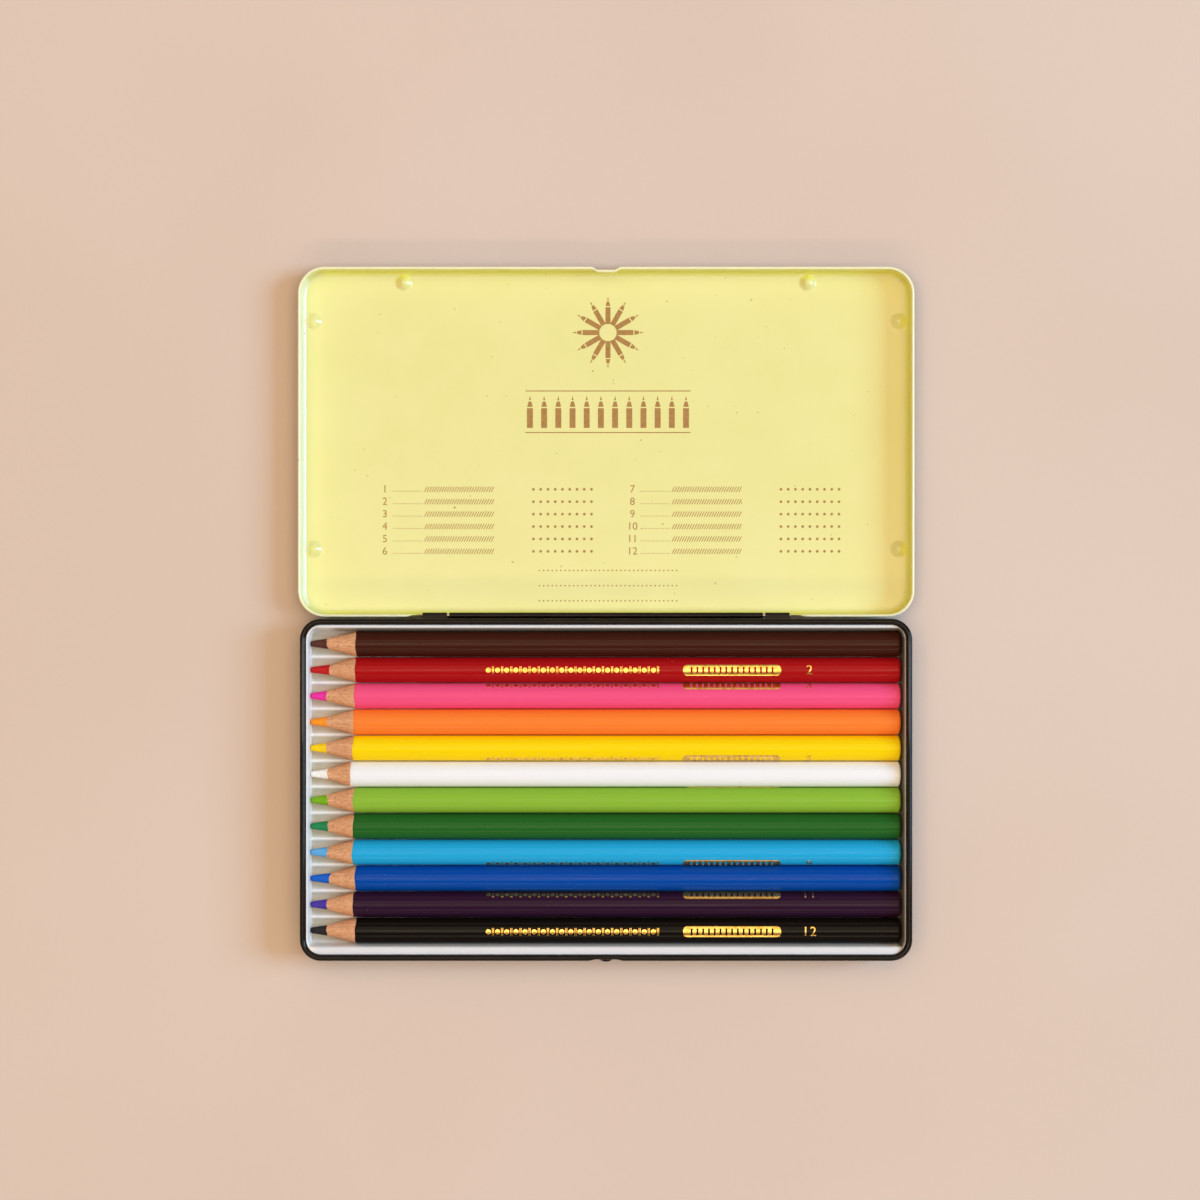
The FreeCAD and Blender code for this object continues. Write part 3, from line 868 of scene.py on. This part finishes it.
# colours of lacquer and lead, how far their edges lie from the plain cone's, and the stamp's turn
pencilLooks = dict(
    brown=dict(coat=(66, 28, 18), lead=(82, 42, 32), coatX=0.6, leadX=0.2, turn=168),
    red=dict(coat=(172, 16, 20), lead=(190, 18, 22), coatX=0.3, leadX=0.9, turn=0),
    pink=dict(coat=(247, 84, 134), lead=(232, 44, 160), coatX=0.0, leadX=0.0, turn=58),
    orange=dict(coat=(255, 131, 50), lead=(255, 148, 32), coatX=-0.3, leadX=0.1, turn=190),
    yellow=dict(coat=(255, 218, 8), lead=(255, 208, 6), coatX=-0.3, leadX=-0.1, turn=-56),
    white=dict(coat=(246, 246, 249), lead=(246, 242, 240), coatX=-1.05, leadX=0.3, turn=172),
    yellow_green=dict(coat=(142, 188, 58), lead=(116, 172, 16), coatX=0.0, leadX=0.1, turn=118),
    green=dict(coat=(36, 100, 36), lead=(24, 132, 78), coatX=-0.15, leadX=0.2, turn=236),
    light_blue=dict(coat=(34, 170, 223), lead=(92, 168, 224), coatX=-0.3, leadX=-0.05, turn=-58),
    blue=dict(coat=(2, 72, 164), lead=(6, 92, 196), coatX=0.45, leadX=0.8, turn=178),
    purple=dict(coat=(46, 20, 44), lead=(70, 48, 156), coatX=-0.3, leadX=0.1, turn=56),
    black=dict(coat=(20, 15, 12), lead=(32, 30, 29), coatX=0.3, leadX=0.1, turn=0),
)


def edgeWave(index, salt, size):
    # gentle uneven edge round the pencil, different on each one
    waves = []
    for k, (times, share) in enumerate(((1, 0.6), (2, 0.45), (5, 0.2))):
        waves.append((times, share, math.sin((index + 1) * (12.9 + 7.7 * k) + salt) * math.pi))
    return lambda angle: size * sum(s * math.cos(times * angle + phase) for times, s, phase in waves)


def makePencil(index, colour, finishes):
    p = pencilPlan
    looks = pencilLooks[colour]
    body = colour + "_pencil"
    y = pencilY[colour]
    leadWave = edgeWave(index, 0.4, p["leadWave"])
    coatWave = edgeWave(index, 2.1, p["coatWave"])

    def leadEdge(angle):
        return p["leadEnd"] + looks["leadX"] + leadWave(angle)

    def coatEdge(angle):
        return p["coneEnd"] + looks["coatX"] + coatWave(angle)

    def spot(x, radius, angle):
        return x, y + radius * math.sin(angle), pencilAxisZ + radius * math.cos(angle)

    def ring(x, radius):
        # x is a number, or follows an uneven edge
        return [spot(x(a) if callable(x) else x, radius, a) for a in full]

    full = [2 * math.pi * i / p["steps"] for i in range(p["steps"])]
    lead = Shape()
    rows = []
    cone = [(share, mixed(p["tipRadius"], p["coreRadius"], share)) for share in (0.2, 0.4, 0.6, 0.8, 1.0)]
    for share, radius in (*p["tipRound"], *cone):
        rows.append(ring(lambda a, s=share: mixed(p["tip"], leadEdge(a), s), radius))
    rows.append(ring(p["woodEnd"], p["coreRadius"]))
    lead.lofted(rows)
    pieces = {"core": lead.piece(colour + "Lead", [finishes["lead"]], 50)}
    glue = math.pi * (0.12 + 0.37 * index % 1)
    for half, name in enumerate(("upper_slat", "lower_slat")):
        slat = Shape()
        angles = [glue + math.pi * (half + i / p["slatSteps"]) for i in range(p["slatSteps"] + 1)]
        rows = []
        for a in angles:
            outer = [
                (mixed(leadEdge(a), coatEdge(a), s), mixed(p["coreRadius"], p["woodRadius"], s))
                for s in (0, 0.25, 0.5, 0.75, 1)
            ]
            outer += [(p["woodEnd"], p["woodRadius"]), (p["woodEnd"], p["coreRadius"])]
            rows.append([spot(x, r, a) for x, r in outer])
        slat.lofted(rows)
        label = colour + ("UpperSlat" if half == 0 else "LowerSlat")
        pieces[name] = slat.piece(label, [finishes["wood"][half]])
    coat = Shape()
    dome = p["blunt"] - p["woodEnd"]
    rows = [ring(coatEdge, p["woodRadius"])]
    for shift, rise in p["coatRise"]:
        rows.append(ring(lambda a, s=shift: coatEdge(a) + s, p["woodRadius"] + rise))
    for back in p["coatBack"]:
        rows.append(ring(p["woodEnd"] - back, p["radius"]))
    for turn in range(0, 91, 6):  # soft shoulder, then a shallow dome
        end = p["woodEnd"] + dome * math.sin(math.radians(turn))
        radius = p["radius"] * max(math.cos(math.radians(turn)), 0.0) ** p["domeBlunt"]
        rows.append(ring(end, radius))
    rows.append(ring(p["woodEnd"], 0.0))
    rows.append(ring(p["woodEnd"], p["woodRadius"]))
    points = [point for row in rows for point in row]
    coat.add(points, skin(len(rows), p["steps"], True, True))
    pieces["lacquer"] = coat.piece(colour + "Lacquer", [finishes["coat"]], 50)
    for node, piece in pieces.items():
        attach(piece, body)
        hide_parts(f"{body}_{node}")


# Gold stamp on each pencil: a bead-and-reel line, a barred capsule and the pencil's plain number

stampPlan = dict(
    Start=-35.3, Beads=19, BeadPitch=2.75, Bead=0.78, Reel=0.22, ReelHeight=2.3, ReelGap=0.4,
    CapsuleX=37.8, CapsuleLength=29.4, CapsuleHeight=3.4, Band=0.7, Bars=15, BarWidth=1.15,
    Turn=0.0, RowY=0.0, AxisZ=pencilAxisZ, Radius=pencilRadius, Thick=0.035,
)
stampFigures = dict(size=4.0, spacing=1.15, x=61.0)


def stampTree(gold):
    g = Growth("goldStamp", stampPlan, gold)
    size = g.size
    bead = g.disc(size("Bead"), 16)
    reel = g.grid(size("Reel"), size("ReelHeight"), 2, 6)
    line = g.row(size("Beads"), size("BeadPitch"), startX=size("Start"))
    reelStart = size("BeadPitch") / 2 - size("ReelGap") / 2
    reelPair = g.row(2, size("ReelGap"), startX=reelStart)
    # capsule: two bands with a row of bars between them, and a half disc at each end
    half = size("CapsuleHeight") / 2
    straight = size("CapsuleLength") - size("CapsuleHeight")
    barPitch = straight / size("Bars")
    barLine = g.row(size("Bars") + 1, barPitch, startX=size("CapsuleX") - straight / 2)
    bar = g.grid(size("BarWidth"), size("CapsuleHeight") - size("Band") * 2, 2, 6)
    band = g.grid(straight + size("BarWidth"), size("Band"), 40, 4)
    bandStep = size("CapsuleHeight") - size("Band")
    bandLine = g.row(2, 0.0, bandStep, size("CapsuleX"), size("Band") / 2 - half)
    # each end is a grid drawn in to a half round
    end = g.grid(2.0, 2.0, 7, 13)
    spot = g.xyz()
    bulge = g.math("SQRT", g.math("MAXIMUM", 1 - spot.at("Y") * spot.at("Y"), 0.0))
    depth = (spot.at("X") + 1) / 2 * bulge * (half - size("BarWidth") / 2)
    depth = depth + size("BarWidth") / 2
    right = g.moved(end, size("CapsuleX") + straight / 2 + depth, spot.at("Y") * half, 0.0)
    left = g.moved(end, size("CapsuleX") - straight / 2 - depth, spot.at("Y") * half, 0.0)
    left = g.node("GeometryNodeFlipFaces", None, {0: left})
    figures = g.node("GeometryNodeSubdivideMesh", None, {"Mesh": g.entry, "Level": 3})
    flat = g.joined(
        figures, g.instanced(line, bead), g.instanced(line, g.instanced(reelPair, reel)),
        g.instanced(barLine, bar), g.instanced(bandLine, band), right, left,
    )
    plate = g.raised(flat, size("Thick"))
    spot = g.xyz()
    angle = spot.at("Y") / size("Radius") + size("Turn")
    radius = size("Radius") + spot.at("Z")
    wrapped = g.moved(
        plate, spot.at("X"), size("RowY") + radius * g.math("SINE", angle),
        size("AxisZ") + radius * g.math("COSINE", angle),
    )
    g.close(wrapped, False)
    return g


def makeStamps(gold):
    tree = stampTree(gold)
    p = stampFigures
    for index, colour in enumerate(pencilColours):
        figures = flatMesh([(lettered(str(index + 1), p["size"], p["spacing"]), p["x"], 0.0)])
        turn = math.radians(pencilLooks[colour]["turn"])
        stamp = tree.grown(colour + "Stamp", figures, Turn=turn, RowY=pencilY[colour])
        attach(stamp, colour + "_pencil")


# Print on the lid's inside: a wheel and a row of pencils, and numbered lines with swatches and dots

printPlan = dict(
    CentreY=2 * hinge.y, Floor=sheet - 0.005, Thick=0.025,
    SignLength=9.6, SignHalf=0.9, SignPoint=0.08, SignGap=0.19, Taper=6.2, Wood=2.0, Signs=12,
    WheelX=0.6, WheelY=33.5, WheelRadius=2.6, FanX=0.6, FanY=4.6, FanPitch=4.3,
    RuleX=0.6, RuleTop=15.8, RuleStep=12.6, RuleLength=50.0, RuleWidth=0.3,
    Rows=6, RowTop=-14.0, RowPitch=3.76,
    LeaderX=-64.3, LeaderDrop=0.6, ColumnShift=75.0, Dots=12, DotPitch=0.75, Dot=0.15,
    SwatchX=-54.6, Strokes=28, StrokePitch=0.75, StrokeWidth=0.26, StrokeHeight=1.6, StrokeLean=0.5,
    MarkX=-22.0, Marks=9, MarkPitch=2.2, Mark=0.42,
    FootY=-38.6, FootStep=-4.6, FootLines=3, FootDots=33, FootPitch=1.3, FootDot=0.24,
)
printFigures = dict(size=3.2, gap=2.7)


def figureRows():
    # plain numbers beside the dotted leaders
    p = printPlan
    parts = []
    for index in range(2 * p["Rows"]):
        x = p["LeaderX"] - printFigures["gap"] + p["ColumnShift"] * (index // p["Rows"])
        y = p["RowTop"] - p["RowPitch"] * (index % p["Rows"])
        parts.append((lettered(str(index + 1), printFigures["size"]), x, y))
    return flatMesh(parts)


def makePrint(ink):
    g = Growth("lidPrint", printPlan, ink)
    size = g.size
    # flat sign of a pencil that points along +Y, with gaps at the edges of its wood
    strip = g.grid(2.0, size("SignLength"), 2, 25)
    spot = g.xyz()
    along = spot.at("Y") + size("SignLength") / 2
    half = g.clamp((size("SignLength") - along) / (size("SignLength") - size("Taper")))
    half = half * size("SignHalf")
    sign = g.moved(strip, spot.at("X") * g.math("MAXIMUM", half, size("SignPoint")), along, 0.0)
    middle = g.xyz().at("Y")
    gap = g.math("COMPARE", middle, size("Taper"), size("SignGap"))
    gap = gap + g.math("COMPARE", middle, size("Taper") + size("Wood"), size("SignGap"))
    sign = g.node("GeometryNodeDeleteGeometry", {"domain": "FACE"}, {"Geometry": sign, "Selection": gap})
    # a wheel of such pencils, a row of them, and rules
    rim = g.node("GeometryNodeMeshCircle", None, {
        "Vertices": size("Signs"), "Radius": size("WheelRadius"),
    })
    spot = g.xyz()
    turn = g.math("ARCTAN2", spot.at("Y"), spot.at("X")) - math.pi / 2
    wheel = g.instanced(rim, sign, Rotation=g.vector(0, 0, turn), Scale=(0.85, 0.85, 1.0))
    hub = g.instanced(g.row(1, startX=size("WheelX"), startY=size("WheelY")), wheel)
    fanStart = size("FanX") - size("FanPitch") * (size("Signs") - 1) / 2
    fan = g.instanced(g.row(size("Signs"), size("FanPitch"), 0.0, fanStart, size("FanY")), sign)
    ruleLine = g.row(2, 0.0, size("RuleStep") * -1, size("RuleX"), size("RuleTop"))
    rules = g.instanced(ruleLine, g.grid(size("RuleLength"), size("RuleWidth")))
    # chart: dotted leader, hatched swatch and a row of dots on each line, in two columns
    leaderY = size("RowTop") - size("LeaderDrop")
    leaderLine = g.row(size("Dots"), size("DotPitch"), 0.0, size("LeaderX"), leaderY)
    leader = g.instanced(leaderLine, g.disc(size("Dot"), 10))
    stroke = g.grid(size("StrokeWidth"), size("StrokeHeight"))
    spot = g.xyz()
    stroke = g.moved(stroke, spot.at("X") + spot.at("Y") * size("StrokeLean"), spot.at("Y"), 0.0)
    strokeLine = g.row(size("Strokes"), size("StrokePitch"), 0.0, size("SwatchX"), size("RowTop"))
    swatch = g.instanced(strokeLine, stroke)
    markLine = g.row(size("Marks"), size("MarkPitch"), 0.0, size("MarkX"), size("RowTop"))
    marks = g.instanced(markLine, g.disc(size("Mark"), 12))
    column = g.row(size("Rows"), 0.0, size("RowPitch") * -1)
    lines = g.instanced(column, g.joined(leader, swatch, marks))
    chart = g.instanced(g.row(2, size("ColumnShift")), lines)
    # dotted lines at the foot
    footStart = size("FootPitch") * (size("FootDots") - 1) / -2
    footLine = g.row(size("FootDots"), size("FootPitch"), 0.0, footStart)
    footDots = g.instanced(footLine, g.disc(size("FootDot"), 10))
    feet = g.row(size("FootLines"), 0.0, size("FootStep"), size("RuleX"), size("FootY"))
    foot = g.instanced(feet, footDots)
    plate = g.raised(g.joined(g.entry, hub, fan, rules, chart, foot), size("Thick"))
    laid = g.node("GeometryNodeTransform", None, {
        "Geometry": plate, "Translation": g.vector(0, size("CentreY"), size("Floor")),
    })
    g.close(laid, False)
    piece = g.grown("lidPrint", figureRows())
    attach(piece, "lid")


# Put it together

dark = darkTinFinish()
yellow = yellowTinFinish()
base = makeBasePan(dark, plainTinFinish())
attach(base, "base")
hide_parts("base_pan")
lid = makeLidPan(dark, yellow)
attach(lid, "lid")
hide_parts("lid_pan")
pin = makeHingePin(steelFinish())
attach(pin, "base")
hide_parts("hinge_pin")
print("tin made")

tray = makeTray(trayFinish())
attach(tray, "tray")
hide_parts("fluted_tray")
print("tray made")

for index, colour in enumerate(pencilColours):
    shift = (3.7 * index, 1.9 * index, 5.3 * index)
    makePencil(index, colour, dict(
        coat=lacquerFinish(colour + "Coat", pencilLooks[colour]["coat"], shift),
        lead=leadFinish(colour + "Core", pencilLooks[colour]["lead"], shift),
        wood=[cedarFinish(f"{colour}Cedar{half}", shift, tone) for half, tone in enumerate((0.0, 0.35))],
    ))
print("pencils made")

makeStamps(foilFinish())
makePrint(inkFinish())
print("stamps and print made")


# Floor, light and camera

studio = dict(
    floor=3.4, world=0.25, worldColour=(255, 225, 187), horizon=(0.3, 0.65),
    cameraX=-1.82, cameraY=56.77, cameraHeight=800.0, lens=79.17,
)
middle = (0, 0.052, 0)
lamps = dict(  # place, aim, size, power, colour
    key=((2.6, 0.26, 1.75), middle, (1.2, 1.4), 86, (158, 211, 255)),
    over=((-0.1, 0.36, 1.5), (-0.1, 0.36, 0), (1.7, 1.6), 13.6, (255, 231, 199)),
    bar=((0, -0.02, 1.45), (0, -0.02, 0), (2.0, 0.09), 3.3, (255, 236, 212)),
    front=((0, -1.25, 1.15), middle, (2.0, 0.16), 4.4, (255, 229, 197)),
)


def makeFloor():
    reach = studio["floor"] / 2
    mesh = bpy.data.meshes.new("floor")
    corners = [(-reach, -reach, 0), (reach, -reach, 0), (reach, reach, 0), (-reach, reach, 0)]
    mesh.from_pydata(corners, [], [(0, 1, 2, 3)])
    mesh.materials.append(floorFinish())
    floor = placed("floor", mesh)


def makeLamp(name, place, aim, size, power, colour):
    data = bpy.data.lights.new(name, "AREA")
    data.shape = "RECTANGLE"
    data.size, data.size_y = size
    data.energy = power
    data.color = linear(colour)[:3]
    lamp = placed(name, data)
    lamp.location = place
    lamp.rotation_euler = (Vector(aim) - Vector(place)).to_track_quat("-Z", "Y").to_euler()


def makeWorld():
    # soft even light; what looks towards the horizon sees a pale backdrop
    world = bpy.data.worlds.new("studio")
    world.use_nodes = True
    bpy.context.scene.world = world
    w = Bench(world.node_tree)
    w.tree.nodes.clear()
    way = w.node("ShaderNodeTexCoord", None, None, "Generated")
    up = w.node("ShaderNodeSeparateXYZ", None, {0: way}, "Z")
    seen = w.seen() * (1 - w.step(up, *studio["horizon"]))
    light = w.node("ShaderNodeBackground", None, {
        "Color": linear(studio["worldColour"]), "Strength": studio["world"],
    })
    pale = w.node("ShaderNodeBackground", None, {"Color": linear(paleFloor["backdrop"])})
    whole = w.node("ShaderNodeMixShader", None, {0: seen, 1: light, 2: pale})
    w.node("ShaderNodeOutputWorld", None, {"Surface": whole})


def makeCamera():
    data = bpy.data.cameras.new("camera")
    data.lens = studio["lens"]
    camera = placed("camera", data)
    camera.location = [studio[key] * mm for key in ("cameraX", "cameraY", "cameraHeight")]
    bpy.context.scene.camera = camera


makeFloor()
for name, lamp in lamps.items():
    makeLamp(name, *lamp)
makeWorld()
makeCamera()
bpy.context.scene.view_settings.view_transform = "Standard"
print("stage made")
